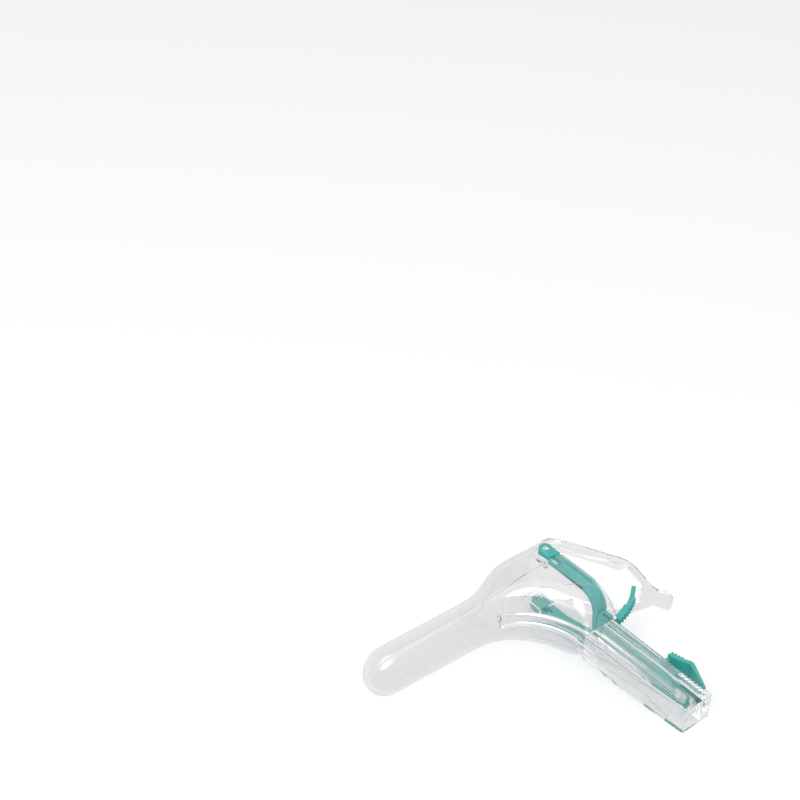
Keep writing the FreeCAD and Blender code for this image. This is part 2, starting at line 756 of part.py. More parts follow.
pad(circles(latch, "ridges", "XZ_Plane", "pad_ridge", centres=[
    ("-pad_edge - (pad_end - pad_edge) * %s" % share, "-pad_top - pad_length * %s" % share)
    for share in ("0.12", "0.36", "0.60", "0.84")]), "2 * latch_half_width", both_sides=True)


# Thumb lever: two deep arms behind the hood that join in a flat plate and a thumb tab

lever = new_body("thumb_lever")
half = "(hood_half_width - lever_inset)"
inner = "(%s - lever_side)" % half
hole_end = "(%s + arc_tooth + hole_gap)" % arc_outer
hole_half = "(tab_half_width + hole_margin)"
neck = "(%s + neck_length)" % hole_end
pad(outline(lever, "plate", "XY_Plane", [
    ("lever_start", half), ("lever_corner", half), (neck, "tab_half_width"), ("lever_length", "tab_half_width"),
    ("lever_length", "-tab_half_width"), (neck, "-tab_half_width"), ("lever_corner", "-" + half),
    ("lever_start", "-" + half), ("lever_start", "-" + inner), ("hole_corner", "-" + inner),
    (hole_end, "-" + hole_half), (hole_end, hole_half), ("hole_corner", inner), ("lever_start", inner)],
    lift="-lever_back"), "lever_plate")
round_edges(lever, along_z_at(neck, "tab_half_width"), "neck_round")
round_edges(lever, along_z_at("lever_length", "tab_half_width"), "tab_round")
round_edges(lever, along_z_at(hole_end, hole_half), "hole_round")
round_edges(lever, along_z_at("hole_corner", inner), "hole_round")
on_hood = "(hood_back - %s * cos(lever_angle)) / sin(lever_angle)"
root_low = (on_hood % "lever_front", "-lever_front")
root_high = (on_hood % "(lever_front + root_height)", "-lever_front - root_height")
root_back = ("lever_start - root_behind", "root_slope - lever_back")
plate_back = ("lever_start", "-lever_back")
root_end = "(lever_start + root_width)"
web_end = "(lever_deep_end + web_slope)"
web = pad(outline(lever, "web", "XZ_Plane", [
    root_low, ("lever_deep_end", "-lever_front"), (web_end, "lever_plate - lever_back"), (web_end, "-lever_back"),
    plate_back, root_back, root_high], "-" + half), "lever_side")
root = pad(outline(lever, "root", "XZ_Plane", [
    root_low, (root_end, "-lever_front"), (root_end, "-lever_back"), plate_back, root_back, root_high],
    "lever_side - " + half), "%s - arm_inner + slide_gap + wall" % inner)
pair = mirror_across(web, "XZ_Plane")
pair.Originals = [web, root]
doc.recompute()
lever_turn = "atan((%s - tab_half_width) / (%s - lever_corner))" % (half, neck)
run = "(shoulder_round * tan(%s / 2))" % lever_turn
arc_ends = ("(lever_corner - %s)" % run, "(lever_corner + %s * cos(%s))" % (run, lever_turn))
trim = pocket(outline(lever, "shoulder", "XY_Plane", [
    (arc_ends[0], half), (arc_ends[1], "%s - %s * sin(%s)" % (half, run, lever_turn)),
    (arc_ends[1], half + " + cut_past"), (arc_ends[0], half + " + cut_past")],
    lift="cut_past - lever_front", bends={0: "shoulder_round"}), "lever_back - lever_front + 2 * cut_past")
mirror_across(trim, "XZ_Plane")
pawl_reach = "sqrt((%s + arc_tooth + pawl_gap)^2 - (lever_back - lever_plate / 2)^2)" % arc_outer
pad(outline(lever, "pawl", "XZ_Plane", [
    (hole_end, "lever_plate - lever_back"), (pawl_reach, "lever_plate / 2 - lever_back"), (hole_end, "-lever_back")]),
    "2 * (arc_half_width + hole_margin)", both_sides=True)
lever.Placement = FreeCAD.Placement(Vector(), FreeCAD.Rotation(Vector(0, 1, 0), 90 + size("lever_angle")))


# Lay the product on its far side: it rests on the blade's side, the handle's end and the funnel

NODES = ["lower_blade", "handle", "light_guide", "yoke", "slide_stem", "angle_ratchet", "slide_latch",
         "upper_blade", "thumb_lever"]
FINE = 0.05
SETTLE_STEPS = 12


def upright_direction(corners):
    """Upright direction of the product when its blade, handle and funnel each touch the table."""
    groups = ([corner for corner in corners if corner.x > size("waist_at")],
              [corner for corner in corners if corner.z < -size("handle_bend")],
              [corner for corner in corners if corner.x < size("handle_front_top") and corner.z > -size("handle_top")])
    upright = SIDE
    for step in range(SETTLE_STEPS):
        blade, grip, funnel = [min(group, key=upright.dot) for group in groups]
        upright = (blade - funnel).cross(grip - funnel)
        upright.normalize()
        if upright.dot(SIDE) < 0:
            upright = upright * -1
    return upright


def lay_down():
    """Give every node its place in the lying product, with the origin under the middle of its box."""
    corners = [corner for name in NODES for corner in doc.getObject(name).Shape.tessellate(FINE)[0]]
    up = upright_direction(corners)
    across = Vector(-1, 0, 0) + up * up.x
    across.normalize()
    along = up.cross(across)
    lying = FreeCAD.Placement(FreeCAD.Matrix(
        across.x, across.y, across.z, 0, along.x, along.y, along.z, 0, up.x, up.y, up.z, 0, 0, 0, 0, 1))
    turned = [lying.multVec(corner) for corner in corners]
    low = Vector(min(c.x for c in turned), min(c.y for c in turned), min(c.z for c in turned))
    high = Vector(max(c.x for c in turned), max(c.y for c in turned), max(c.z for c in turned))
    shift = Vector(-(low.x + high.x) / 2, -(low.y + high.y) / 2, -low.z)
    place = FreeCAD.Placement(shift, FreeCAD.Rotation()).multiply(lying)
    for name in NODES:
        node = doc.getObject(name)
        node.Placement = place.multiply(node.Placement)
    return place, up


PLACE, UP = lay_down()
doc.recompute()

for item in doc.Objects:
    if "Invalid" in item.State or "Error" in item.State:
        raise RuntimeError("%s failed: %s" % (item.Name, item.State))
for name in NODES:
    shape = doc.getObject(name).Shape
    if shape.isNull() or not shape.isValid():
        raise RuntimeError(name + " has no valid shape")
    shape.exportStep("parts/%s.step" % name)
    box = shape.BoundBox
    print("%-14s solids %d faces %d volume %.0f mm3 box %.1f %.1f %.1f" % (
        name, len(shape.Solids), len(shape.Faces), shape.Volume, box.XLength, box.YLength, box.ZLength))
print("pivot", PLACE.multVec(Vector()), "upright", UP)
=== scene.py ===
import json
import math

import bmesh
import bpy
from mathutils import Matrix, Vector


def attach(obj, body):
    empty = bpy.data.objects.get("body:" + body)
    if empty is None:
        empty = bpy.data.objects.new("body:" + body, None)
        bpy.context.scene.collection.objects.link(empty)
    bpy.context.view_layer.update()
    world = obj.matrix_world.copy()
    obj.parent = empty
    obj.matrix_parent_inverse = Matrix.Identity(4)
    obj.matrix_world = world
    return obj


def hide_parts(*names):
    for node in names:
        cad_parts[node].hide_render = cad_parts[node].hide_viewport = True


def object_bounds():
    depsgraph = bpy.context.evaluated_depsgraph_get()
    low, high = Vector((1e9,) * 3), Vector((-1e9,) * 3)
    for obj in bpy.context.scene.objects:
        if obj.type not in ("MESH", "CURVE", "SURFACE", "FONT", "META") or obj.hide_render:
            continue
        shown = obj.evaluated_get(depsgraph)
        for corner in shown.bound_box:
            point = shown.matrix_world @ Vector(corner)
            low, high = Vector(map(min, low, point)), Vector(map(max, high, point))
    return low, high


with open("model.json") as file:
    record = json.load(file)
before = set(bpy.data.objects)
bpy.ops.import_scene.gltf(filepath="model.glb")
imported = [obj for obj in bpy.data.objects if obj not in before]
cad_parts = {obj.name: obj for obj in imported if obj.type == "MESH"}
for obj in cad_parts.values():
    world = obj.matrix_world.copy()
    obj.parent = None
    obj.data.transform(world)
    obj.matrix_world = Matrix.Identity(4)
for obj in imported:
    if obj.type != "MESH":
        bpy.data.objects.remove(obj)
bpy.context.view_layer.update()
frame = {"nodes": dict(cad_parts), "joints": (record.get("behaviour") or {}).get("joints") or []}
MM = 0.001


# The product's own axes, read from the joints: X forward along the blades, Z away from the handle

def product_axes():
    """A matrix from the product's millimetres, measured from the pivot, to the frame's metres."""
    joints = {joint["name"]: joint for joint in frame["joints"]}
    side = -Vector(joints["blade_pivot"]["axis"]).normalized()
    up = Vector(joints["yoke_slide"]["axis"]).normalized()
    forward = side.cross(up).normalized()
    turn = Matrix((forward, side, up)).transposed().to_4x4()
    return Matrix.Translation(Vector(joints["blade_pivot"]["pos_m"])) @ turn @ Matrix.Scale(MM, 4)


PRODUCT = product_axes()
TURN = PRODUCT.to_3x3() * (1 / MM)


def place(across, side, up):
    """A point of the product, in millimetres from the pivot, as a point of the frame."""
    return PRODUCT @ Vector((across, side, up))


def add_object(name, data):
    made = bpy.data.objects.new(name, data)
    bpy.context.scene.collection.objects.link(made)
    return made


def add_mesh(name, work):
    """An object from a finished bmesh, which is freed."""
    mesh = bpy.data.meshes.new(name)
    work.to_mesh(mesh)
    work.free()
    return add_object(name, mesh)


def smooth(mesh, sharp_from):
    """Shade a mesh smooth, but for edges that turn by more than an angle in degrees."""
    for face in mesh.polygons:
        face.use_smooth = True
    mesh.set_sharp_from_angle(angle=math.radians(sharp_from))


# Materials

PLASTIC_IOR = 1.55
CLEAR_GLOSS = 0.004
THROUGH_CLEAR = (0.97, 0.97, 0.972, 1)
FLOW_MARKS = {"scale": 240, "strength": 0.02}
FINE_GRAIN = {"scale": 900, "strength": 0.08}
BUMP_DISTANCE = 0.0002
SCATTER_SHARE, SCATTER_RADIUS = 0.15, (0.001, 0.003, 0.003)


def new_material(name):
    material = bpy.data.materials.new(name)
    material.use_nodes = True
    material.node_tree.nodes.clear()
    return material, material.node_tree.nodes, material.node_tree.links


def math_node(tree, operation, *values):
    """A Math node on a node tree, each of whose inputs is another node's output or a number."""
    node = tree.nodes.new("ShaderNodeMath")
    node.operation = operation
    for socket, value in zip(node.inputs, values):
        if isinstance(value, bpy.types.NodeSocket):
            tree.links.new(value, socket)
        else:
            socket.default_value = value
    return node.outputs["Value"]


def add_bump(nodes, links, shader, scale, strength):
    """Fine unevenness of a moulded face."""
    spots = nodes.new("ShaderNodeTexNoise")
    spots.inputs["Scale"].default_value = scale
    bump = nodes.new("ShaderNodeBump")
    bump.inputs["Strength"].default_value = strength
    bump.inputs["Distance"].default_value = BUMP_DISTANCE
    links.new(spots.outputs["Fac"], bump.inputs["Height"])
    links.new(bump.outputs["Normal"], shader.inputs["Normal"])


def clear_plastic(name, tint, depth):
    """Clear moulded plastic with faint flow marks in its gloss.

    Shadow rays, diffuse rays and rays that have met more faces than depth go straight through it, so that
    thick places stay clear.
    """
    material, nodes, links = new_material(name)
    tree = material.node_tree
    out = nodes.new("ShaderNodeOutputMaterial")
    shader = nodes.new("ShaderNodeBsdfPrincipled")
    shader.inputs["Base Color"].default_value = (*tint, 1)
    shader.inputs["Transmission Weight"].default_value = 1.0
    shader.inputs["IOR"].default_value = PLASTIC_IOR
    shader.inputs["Roughness"].default_value = CLEAR_GLOSS
    add_bump(nodes, links, shader, **FLOW_MARKS)
    passing = nodes.new("ShaderNodeBsdfTransparent")
    passing.inputs["Color"].default_value = THROUGH_CLEAR
    path = nodes.new("ShaderNodeLightPath").outputs
    lit = math_node(tree, "MAXIMUM", path["Is Shadow Ray"], path["Is Diffuse Ray"])
    trapped = math_node(tree, "GREATER_THAN", path["Ray Depth"], depth + 0.5)
    both = nodes.new("ShaderNodeMixShader")
    links.new(math_node(tree, "MAXIMUM", lit, trapped), both.inputs["Fac"])
    links.new(shader.outputs["BSDF"], both.inputs[1])
    links.new(passing.outputs["BSDF"], both.inputs[2])
    links.new(both.outputs["Shader"], out.inputs["Surface"])
    return material


def solid_plastic(name, colour, roughness):
    """Coloured moulded plastic with a fine grain and a little light scattered below its face."""
    material, nodes, links = new_material(name)
    out = nodes.new("ShaderNodeOutputMaterial")
    shader = nodes.new("ShaderNodeBsdfPrincipled")
    shader.inputs["Base Color"].default_value = (*colour, 1)
    shader.inputs["Roughness"].default_value = roughness
    shader.inputs["Subsurface Weight"].default_value = SCATTER_SHARE
    shader.inputs["Subsurface Radius"].default_value = SCATTER_RADIUS
    add_bump(nodes, links, shader, **FINE_GRAIN)
    links.new(shader.outputs["BSDF"], out.inputs["Surface"])
    return material


CLEAR = clear_plastic("clear_moulded_plastic", (0.950, 0.946, 0.956), 4)
CLEAR_THICK = clear_plastic("clear_thick_plastic", (0.985, 0.988, 0.99), 4)
CLEAR_LEVER = clear_plastic("clear_lever_plastic", (0.952, 0.951, 0.954), 4)
GUIDE = clear_plastic("light_guide_plastic", (0.972, 0.98, 0.982), 5)
# The two ridge colours are painted light: one is a painted highlight and the other painted shade, for the
# two faces of each ridge on the stem.
RIDGE_PAINTED_HIGHLIGHT = solid_plastic("ridge_painted_highlight_plastic", (0.34, 0.46, 0.47), 0.35)
RIDGE_PAINTED_SHADE = solid_plastic("ridge_painted_shade_plastic", (0.02, 0.13, 0.14), 0.3)
TEAL = solid_plastic("teal_moulded_plastic", (0.055, 0.43, 0.39), 0.2)

NODE_MATERIALS = {
    "lower_blade": CLEAR, "handle": CLEAR_THICK, "light_guide": GUIDE, "upper_blade": CLEAR,
    "thumb_lever": CLEAR_LEVER, "yoke": TEAL, "slide_stem": TEAL, "angle_ratchet": TEAL, "slide_latch": TEAL,
}
EDGE_ROUNDING = {
    "handle": 0.2, "light_guide": 0.5, "thumb_lever": 0.7, "yoke": 0.45, "slide_stem": 0.2,
    "angle_ratchet": 0.25, "slide_latch": 0.4,
}
WELD_WITHIN = 0.002
ROUNDED_FROM = 35


def dress_node(name, material):
    """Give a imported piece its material, and round its edges as a moulding's are."""
    node = frame["nodes"][name]
    node.data.materials.clear()
    node.data.materials.append(material)
    if name not in EDGE_ROUNDING:
        return
    for face in node.data.polygons:
        face.use_smooth = True
    weld = node.modifiers.new("weld", "WELD")
    weld.merge_threshold = WELD_WITHIN * MM
    bevel = node.modifiers.new("rounded_edges", "BEVEL")
    bevel.width = EDGE_ROUNDING[name] * MM
    bevel.segments = 3
    bevel.limit_method = "ANGLE"
    bevel.angle_limit = math.radians(ROUNDED_FROM)
    bevel.use_clamp_overlap = True
    bevel.harden_normals = True


for name, material in NODE_MATERIALS.items():
    dress_node(name, material)


# Clear blades as smooth shells in millimetres of the product's axes. The hood falls to the blade over a
# slightly longer stretch than the solid's does. The other sizes are the solids' own.

WALL = 1.7
RIM = 3.0
TILT = math.radians(4.0)
REACH, NOSE, WAIST = 136.0, 16.0, 52.0
ROUND, SHOULDER_ROUND = 2.45, 5.0
HOOD_WIDE, WAIST_WIDE, BILL_WIDE, FUNNEL_WIDE, HANDLE_WIDE = 22.3, 16.6, 14.6, 23.4, 8.8
HOOD_HIGH, BLADE_HIGH, WAIST_DEEP, BILL_DEEP = 24.5, 12.9, 7.6, 10.2
HOOD_BACK, FUNNEL_BACK, HANDLE_TOP, FLAT = 4.2, 3.6, 56.0, 17.2
TAPER_START, DROP_START, DROP_END, FUNNEL_BEND, HEEL = 14.0, 21.0, 60.0, 34.5, 38.0
HANDLE_FRONT, HOOD_LAST, PARTING_GAP = 22.0, 2.0, 0.25
FLARE_END, FUNNEL_ROUND = 0.6, 1.5
ARM_INNER, ARM_FRONT, BOSS, PIN, PIN_END = 18.0, 5.8, 4.9, 1.9, 23.2
SIDES, NOSE_STEPS, SKIRT_STEPS = 72, 18, 3
BILL_STEPS, DROP_STEPS, HOOD_STEPS = 16, 30, 6
LOWER_STEPS, HEEL_STEPS, SHOULDER_STEPS = 24, 64, 8
U = Vector((math.cos(TILT), 0, math.sin(TILT)))
W = Vector((-math.sin(TILT), 0, math.cos(TILT)))
BASE = Vector((0, 0, -8.8))
HEEL_START = (HANDLE_FRONT + HEEL - (WAIST_DEEP + HEEL) * math.sin(TILT)) / math.cos(TILT)
HEEL_CENTRE = BASE + U * HEEL_START - W * (WAIST_DEEP + HEEL)


def part(start, end, at):
    """How far a place is from a start to an end, from nought to one."""
    return min(1.0, max(0.0, (at - start) / (end - start)))


def ease(start, end, at):
    share = part(start, end, at)
    return share * share * (3 - 2 * share)


def mix(first, second, share):
    return first + (second - first) * share


def dome(middle, depth, half, deep, power, low=0.0):
    """Half a superellipse from side to side, closed in evenly; low lifts its two ends off the middle."""
    points = []
    for step in range(SIDES + 1):
        turn = math.pi * step / SIDES
        across = math.copysign(abs(math.cos(turn)) ** (2 / power), math.cos(turn))
        down = max(low, deep * max(0.0, math.sin(turn)) ** (2 / power))
        points.append(middle + Vector((0, half * across, 0)) + depth * down)
    return points


def shell(name, outer, inner, material, nodes, body):
    """A closed wall between two grids of points, an outer and an inner one, which both start at a tip."""
    work = bmesh.new()

    def grid(rows):
        tip = work.verts.new(PRODUCT @ rows[0][0])
        made = [[work.verts.new(PRODUCT @ point) for point in row] for row in rows[1:]]
        for left, right in zip(made[0], made[0][1:]):
            work.faces.new((tip, left, right))
        for row, after in zip(made, made[1:]):
            for step in range(len(row) - 1):
                work.faces.new((row[step], after[step], after[step + 1], row[step + 1]))
        return tip, made

    tip_out, out = grid(outer)
    tip_in, inn = grid(inner)
    for side in (0, -1):
        work.faces.new((tip_out, tip_in, inn[0][side], out[0][side]))
        for step in range(len(out) - 1):
            work.faces.new((out[step][side], inn[step][side], inn[step + 1][side], out[step + 1][side]))
    for step in range(len(out[-1]) - 1):
        work.faces.new((out[-1][step], inn[-1][step], inn[-1][step + 1], out[-1][step + 1]))
    bmesh.ops.recalc_face_normals(work, faces=work.faces)
    piece = add_mesh(name, work)
    smooth(piece.data, 45)
    piece.data.materials.append(material)
    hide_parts(*nodes)
    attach(piece, body)
    return piece


def nose_rows(reach):
    """Places along the nose from its tip, with the share of the full section that each keeps."""
    turns = [math.pi / 2 * step / NOSE_STEPS for step in range(NOSE_STEPS + 1)]
    return [(reach - NOSE + NOSE * math.cos(turn), math.sin(turn)) for turn in turns]


def runs(start, end, steps, last=1):
    """Places with a full section from a start, which is left out, to an end, left out too if last is 0."""
    return [(mix(start, end, step / steps), 1.0) for step in range(1, steps + last)]


def upper_rows(inset, reach):
    """Sections of the upper blade and its hood, from the tip to the slanted back."""
    rows = []
    stations = nose_rows(reach) + runs(reach - NOSE, WAIST, BILL_STEPS)
    stations += runs(WAIST, TAPER_START, DROP_STEPS) + runs(TAPER_START, HOOD_LAST, HOOD_STEPS)
    for along, scale in stations:
        far = part(WAIST, REACH - NOSE, along)
        half = mix(HOOD_WIDE, mix(WAIST_WIDE, BILL_WIDE, far), ease(TAPER_START, WAIST, along)) - inset
        high = mix(HOOD_HIGH, BLADE_HIGH, ease(DROP_START, DROP_END, along)) - inset
        rows.append(dome(BASE + U * along, W, half * scale, high * scale, ROUND))
    back = []
    for point in rows[-1]:
        rise = (point - BASE).dot(W)
        shift = (-HOOD_BACK + rise * math.sin(TILT)) / math.cos(TILT) - (point - BASE).dot(U)
        back.append(point + U * shift)
    return rows + [back]


def funnel_wide(height):
    """Half of the funnel's width, which narrows to the handle's below the bend."""
    share = part(-FUNNEL_BEND, -HANDLE_TOP, height)
    return HANDLE_WIDE + (FUNNEL_WIDE - HANDLE_WIDE) * (1 - share ** FUNNEL_ROUND) ** (1 / FUNNEL_ROUND)


def skirted(row, spoke, top):
    """A section of the heel with straight sides out to the funnel's mouth or the parting line."""
    reach = (row[0].x + FUNNEL_BACK) / max(1e-6, -spoke.x)
    to_parting = (top - (row[0] - BASE).dot(W)) / max(1e-6, spoke.dot(W))
    reach = min(reach, to_parting)
    outs = [reach * step / SKIRT_STEPS for step in range(1, SKIRT_STEPS + 1)]
    return [row[0] + spoke * out for out in reversed(outs)] + row + [row[-1] + spoke * out for out in outs]


def lower_rows(inset, reach):
    """Sections of the lower blade, round the heel, and down the funnel to the handle."""
    rows = []
    for along, scale in nose_rows(reach) + runs(reach - NOSE, HEEL_START, LOWER_STEPS, last=0):
        far = part(WAIST, REACH - NOSE, along)
        near = part(HEEL_START, REACH - NOSE, along)
        half = mix(WAIST_WIDE, BILL_WIDE, far) - inset
        deep = mix(WAIST_DEEP, BILL_DEEP, near) - inset
        row = dome(BASE + U * along, -W, half * scale, deep * scale, ROUND, PARTING_GAP)
        rows.append([row[0]] * SKIRT_STEPS + row + [row[-1]] * SKIRT_STEPS)
    for step in range(HEEL_STEPS + 1):
        share = step / HEEL_STEPS
        rise = (1 - share) * (math.pi / 2 - TILT)
        spoke = Vector((-math.cos(rise), 0, math.sin(rise)))
        flare = ease(0, FLARE_END, share)
        deep = mix(WAIST_DEEP, FLAT, flare)
        height = HEEL_CENTRE.z + (HEEL_CENTRE.x + FUNNEL_BACK) * math.tan(rise)
        half = mix(WAIST_WIDE, funnel_wide(height), flare)
        row = dome(HEEL_CENTRE + spoke * (HEEL + deep), -spoke, half - inset, deep - inset, ROUND)
        rows.append(skirted(row, spoke, -PARTING_GAP))
    top = rows[-1]
    low = dome(Vector((HANDLE_FRONT - FLAT, 0, -HANDLE_TOP)), Vector((1, 0, 0)), HANDLE_WIDE - inset,
               FLAT - inset, SHOULDER_ROUND)
    low = skirted(low, Vector((-1, 0, 0)), 0.0)
    for step in range(1, SHOULDER_STEPS + 1):
        rows.append([first.lerp(last, step / SHOULDER_STEPS) for first, last in zip(top, low)])
    return rows


lower = shell("clear_lower_shell", lower_rows(0.0, REACH), lower_rows(WALL, REACH - RIM), CLEAR,
              ["lower_blade"], "base")
upper = shell("clear_upper_shell", upper_rows(0.0, REACH), upper_rows(WALL, REACH - RIM), CLEAR,
              ["upper_blade"], "upper")


# The room for the yoke's arms beside the hood, and the studs that they turn on

RECESS_END, FAR_OUT = 40, 60
PLATE_TOP, STEP_OUT = 7.5, 21.6
PIN_TURNS, PIN_ROOT, PIN_ROUND, PIN_SHOULDER = 48, 0.6, 0.5, 0.15
BORE, BORE_EDGE, BORE_DEEP = 0.8, 0.1, 1.2


def prism(name, corners, near, far):
    """A scratch solid: an outline in the product's XZ plane between two distances to the side."""
    work = bmesh.new()
    ends = [[work.verts.new(place(x, y, z)) for x, z in corners] for y in (near, far)]
    work.faces.new(ends[0])
    work.faces.new(list(reversed(ends[1])))
    for step in range(len(corners)):
        after = (step + 1) % len(corners)
        work.faces.new((ends[0][step], ends[1][step], ends[1][after], ends[0][after]))
    bmesh.ops.recalc_face_normals(work, faces=work.faces)
    return add_mesh(name, work)


def pin(name, side):
    """The pivot stud with its round end and its small hollow, turned about the pivot's line."""
    profile = [(0.0, ARM_INNER - PIN_ROOT), (PIN, ARM_INNER - PIN_ROOT), (PIN, PIN_END - PIN_ROUND),
               (PIN - PIN_SHOULDER, PIN_END - PIN_SHOULDER), (PIN - PIN_ROUND, PIN_END),
               (BORE + 2 * BORE_EDGE, PIN_END), (BORE + BORE_EDGE, PIN_END - BORE_EDGE),
               (BORE, PIN_END - BORE_DEEP), (0.0, PIN_END - BORE_DEEP)]
    turns = [math.tau * step / PIN_TURNS for step in range(PIN_TURNS)]
    work = bmesh.new()
    rings = []
    for radius, out in profile:
        if radius == 0.0:
            rings.append([work.verts.new(place(0, side * out, 0))] * PIN_TURNS)
        else:
            rings.append([work.verts.new(place(radius * math.cos(turn), side * out, radius * math.sin(turn)))
                          for turn in turns])
    for ring, after in zip(rings, rings[1:]):
        for step in range(PIN_TURNS):
            follow = (step + 1) % PIN_TURNS
            corners = []
            for vert in (ring[step], ring[follow], after[follow], after[step]):
                if vert not in corners:
                    corners.append(vert)
            work.faces.new(corners)
    bmesh.ops.recalc_face_normals(work, faces=work.faces)
    return add_mesh(name, work)


def combine(piece, tools):
    """Apply each scratch solid to the piece and take the scratch solids away again."""
    for tool, operation in tools:
        step = piece.modifiers.new(tool.name, "BOOLEAN")
        step.object = tool
        step.operation = operation
        step.solver = "EXACT"
    graph = bpy.context.evaluated_depsgraph_get()
    mesh = bpy.data.meshes.new_from_object(piece.evaluated_get(graph))
    piece.modifiers.clear()
    piece.data = mesh
    for tool, _ in tools:
        bpy.data.objects.remove(tool)
    smooth(mesh, 40)


def parting(x):
    """The height of the line where the blades meet."""
    return BASE.z + x * math.tan(TILT)


def yoke_room(side):
    """The recess beside the hood, the walls round it and the stud, as scratch solids."""
    inner, front = ARM_INNER - WALL, ARM_FRONT + WALL
    recess = [(-RECESS_END, -RECESS_END), (ARM_FRONT, -RECESS_END), (ARM_FRONT, BOSS), (-RECESS_END, BOSS)]
    plate = [(-HOOD_BACK, parting(-HOOD_BACK)), (front, parting(front)), (front, PLATE_TOP),
             (-HOOD_BACK, PLATE_TOP)]
    step = [(ARM_FRONT, parting(ARM_FRONT)), (front, parting(front)), (front, BOSS + WALL),
            (-HOOD_BACK, BOSS + WALL), (-HOOD_BACK, BOSS), (ARM_FRONT, BOSS)]
    return [(prism("recess", recess, side * ARM_INNER, side * FAR_OUT), "DIFFERENCE"),
            (prism("plate", plate, side * inner, side * ARM_INNER), "UNION"),
            (prism("step", step, side * inner, side * STEP_OUT), "UNION"), (pin("pin", side), "UNION")]


combine(upper, yoke_room(1) + yoke_room(-1))


# Fine cross ridges on the stem, with a plain mark at every MARK_PITCH. One face of each ridge is painted
# lighter as a highlight and the other darker as shade.

STEM_TOP, STEM_LOW, PITCH = -49.0, -105.8, 0.7
MARK_PITCH, MARK_LONG = 14.7, 1.8
RIDGE_HIGH, SUNK = 0.28, 0.05
RIDGE_SHARES = (0.0, 0.04, 0.96, 1.0)


def ridge_strip(name, corner, across, out):
    """A strip of cross ridges down the stem, from a corner, across its width, which rise along out. One face
    of each ridge gets the painted highlight colour and the other the painted shade colour.
    """
    corner, across, out = Vector(corner), Vector(across), Vector(out)
    half = PITCH / 2
    work = bmesh.new()
    rows = []
    plain = []
    for step in range(int((STEM_TOP - STEM_LOW) / half) + 1):
        plain.append((step * half) % MARK_PITCH < MARK_LONG)
        lift = 0.0 if plain[-1] or step % 2 == 0 else RIDGE_HIGH
        base = corner + Vector((0, 0, STEM_TOP - step * half)) + out * (lift - SUNK)
        rows.append([work.verts.new(PRODUCT @ (base + across * share)) for share in RIDGE_SHARES])
        for vert in (rows[-1][0], rows[-1][-1]):
            vert.co -= (PRODUCT.to_3x3() @ out) * (lift + SUNK)
    for number, (row, after) in enumerate(zip(rows, rows[1:])):
        for step in range(len(row) - 1):
            face = work.faces.new((row[step], row[step + 1], after[step + 1], after[step]))
            # Plain marks keep the teal. On the ridges, alternate faces take the painted highlight and the
            # painted shade.
            face.material_index = 0 if plain[number] else 1 + number % 2
    bmesh.ops.recalc_face_normals(work, faces=work.faces)
    piece = add_mesh(name, work)
    for material in (TEAL, RIDGE_PAINTED_HIGHLIGHT, RIDGE_PAINTED_SHADE):
        piece.data.materials.append(material)
    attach(piece, "yoke_frame")


ridge_strip("stem_ridges_back", (0.6, -5.4, 0), (0, 10.8, 0), (-1, 0, 0))
ridge_strip("stem_ridges_near", (0.9, 7.0, 0), (3.1, 0, 0), (0, 0.5, 0))
ridge_strip("stem_ridges_far", (0.9, -7.0, 0), (3.1, 0, 0), (0, -0.5, 0))


# Fine lines of the mould on the funnel, the blade and the handle

SIDE_NAMES = ((1, "near"), (-1, "far"))
CHEEK_LINE = [(16.2, -9.5), (18.4, -13.0), (19.5, -17.0), (19.3, -21.0), (17.8, -24.6), (15.0, -27.4),
              (11.0, -30.2), (7.0, -32.6), (3.0, -35.6), (-0.6, -39.0), (-3.4, -42.0)]
CHEEK_THICK, MARK_THICK, GRIP_THICK = 0.28, 0.1, 0.3
MARK_X, MARK_Z, MARK_RADIUS, MARK_POINTS = 44.0, -14.6, 2.6, 16
GRIP_LINES = [(3.4, -58.0, -100.0), (7.6, -57.0, -94.0), (12.0, -60.0, -112.0), (16.6, -64.0, -117.0)]
GRIP_RUNS = 6
BEAD_SUNK = 0.4


def surface_line(name, places, side, thickness, closed=False, carrier=lower, material=CLEAR):
    """A fine bead on the outer face of what carries it, along places given as forward and up."""
    inward = TURN @ Vector((0, -side, 0))
    points = []
    for x, z in places:
        found, point, normal, _ = carrier.ray_cast(place(x, side * FAR_OUT, z), inward)
        if found:
            points.append(point - normal * (thickness * BEAD_SUNK * MM))
    data = bpy.data.curves.new(name, "CURVE")
    data.dimensions = "3D"
    data.bevel_depth = thickness * MM
    data.bevel_resolution = 4
    data.resolution_u = 16
    spline = data.splines.new("NURBS")
    spline.points.add(len(points) - 1)
    for target, point in zip(spline.points, points):
        target.co = (*point, 1)
    spline.order_u = 4
    spline.use_endpoint_u = not closed
    spline.use_cyclic_u = closed
    data.materials.append(material)
    piece = add_object(name, data)
    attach(piece, "base")


for side, label in SIDE_NAMES:
    surface_line("cheek_line_" + label, CHEEK_LINE, side, CHEEK_THICK)
turns = [math.tau * step / MARK_POINTS for step in range(MARK_POINTS)]
ring = [(MARK_X + MARK_RADIUS * math.cos(turn), MARK_Z + MARK_RADIUS * math.sin(turn)) for turn in turns]
surface_line("mould_mark", ring, 1, MARK_THICK, closed=True)
for side, label in SIDE_NAMES:
    for number, (x, top, low) in enumerate(GRIP_LINES):
        places = [(x, mix(top, low, step / GRIP_RUNS)) for step in range(GRIP_RUNS + 1)]
        surface_line(f"grip_line_{label}_{number + 1}", places, side, GRIP_THICK,
                     carrier=frame["nodes"]["handle"], material=CLEAR_THICK)


# Floor, light and camera

WHITE = (1, 1, 1, 1)
FLOOR_HALF, FLOOR_COLOUR = 4, (0.8, 0.8, 0.8, 1)
FLOOR_TO_CAMERA, FLOOR_THROUGH_CLEAR = 0.27, 0.09
WORLD_LIGHT, WORLD_THROUGH_CLEAR = 0.45, 0.45


def seen_in_clear(tree, path):
    """One for a ray that comes from gloss or through a clear piece, and nought for others."""
    return math_node(tree, "MAXIMUM", path["Is Glossy Ray"], path["Is Transmission Ray"])


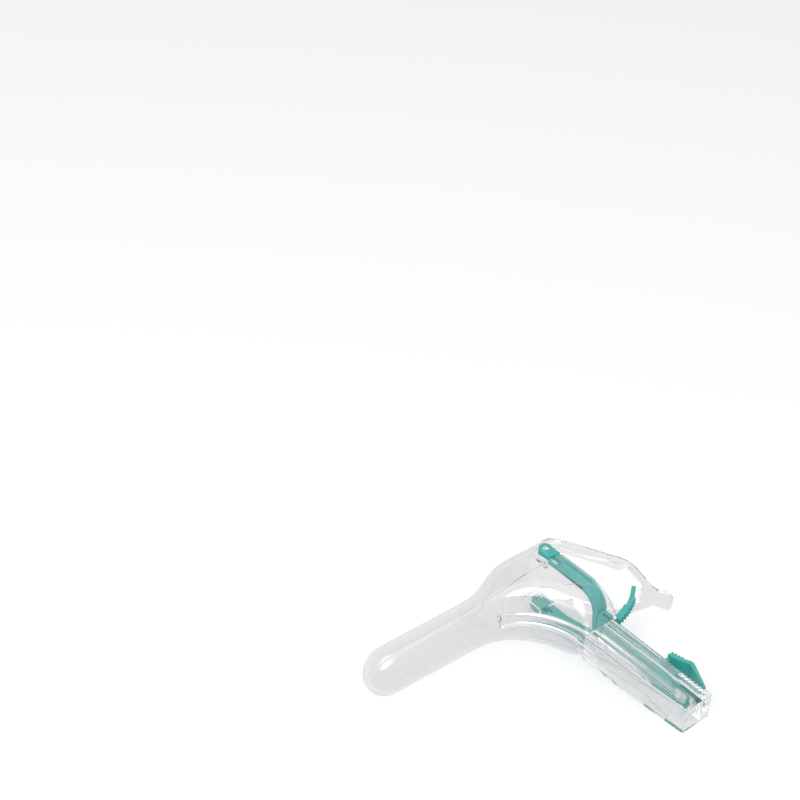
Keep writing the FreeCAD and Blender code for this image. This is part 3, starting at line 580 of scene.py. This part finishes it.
def backdrop():
    """A wide floor that the camera sees as white, with the object's shadow on it."""
    work = bmesh.new()
    bmesh.ops.create_grid(work, x_segments=1, y_segments=1, size=FLOOR_HALF)
    floor = add_mesh("floor", work)
    floor.location.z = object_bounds()[0].z
    material, nodes, links = new_material("white_floor")
    tree = material.node_tree
    out = nodes.new("ShaderNodeOutputMaterial")
    diffuse = nodes.new("ShaderNodeBsdfDiffuse")
    diffuse.inputs["Color"].default_value = FLOOR_COLOUR
    glow = nodes.new("ShaderNodeEmission")
    glow.inputs["Color"].default_value = WHITE
    path = nodes.new("ShaderNodeLightPath").outputs
    through = math_node(tree, "MULTIPLY", seen_in_clear(tree, path), FLOOR_THROUGH_CLEAR)
    strength = math_node(tree, "MULTIPLY_ADD", path["Is Camera Ray"], FLOOR_TO_CAMERA, through)
    links.new(strength, glow.inputs["Strength"])
    both = nodes.new("ShaderNodeAddShader")
    links.new(diffuse.outputs["BSDF"], both.inputs[0])
    links.new(glow.outputs["Emission"], both.inputs[1])
    links.new(both.outputs["Shader"], out.inputs["Surface"])
    floor.data.materials.append(material)


def soft_light(name, location, size, power):
    """A round lamp, in millimetres and watts, that faces the object."""
    data = bpy.data.lights.new(name, "AREA")
    data.shape = "DISK"
    data.size = size * MM
    data.energy = power
    lamp = add_object(name, data)
    lamp.location = place(*location)
    lamp.rotation_mode = "QUATERNION"
    lamp.rotation_quaternion = (-lamp.location).to_track_quat("-Z", "Y")


def white_world():
    world = bpy.data.worlds.new("studio")
    bpy.context.scene.world = world
    world.use_nodes = True
    tree = world.node_tree
    background = tree.nodes["Background"]
    background.inputs["Color"].default_value = WHITE
    seen = seen_in_clear(tree, tree.nodes.new("ShaderNodeLightPath").outputs)
    strength = math_node(tree, "MULTIPLY_ADD", seen, WORLD_THROUGH_CLEAR, WORLD_LIGHT)
    tree.links.new(strength, background.inputs["Strength"])


CAMERA_PLACE = (723.35, 885.06, -603.53)
CAMERA_RIGHT = Vector((-0.74204, 0.05762, -0.66787))
CAMERA_DOWN = Vector((0.38876, -0.77466, -0.49877))
SENSOR, FOCAL_PIXELS, PHOTO_PIXELS = 36, 2200, 800


def photo_camera():
    """The photograph's viewpoint, found in the product's axes, with its narrow angle of view."""
    ahead = CAMERA_RIGHT.cross(CAMERA_DOWN)
    turn = Matrix((CAMERA_RIGHT, -CAMERA_DOWN, -ahead)).transposed()
    data = bpy.data.cameras.new("photo_camera")
    data.sensor_width = SENSOR
    data.lens = SENSOR * FOCAL_PIXELS / PHOTO_PIXELS
    data.clip_start = 0.05
    data.clip_end = 20
    camera = add_object("photo_camera", data)
    camera.rotation_mode = "QUATERNION"
    camera.rotation_quaternion = (TURN @ turn).to_quaternion()
    camera.location = place(*CAMERA_PLACE)
    bpy.context.scene.camera = camera


backdrop()
white_world()
soft_light("key_light", (1560, 3000, -1050), 3000, 72)
soft_light("fill_light", (0, 3450, 300), 3600, 24)
photo_camera()

bpy.context.scene.view_settings.view_transform = "Standard"
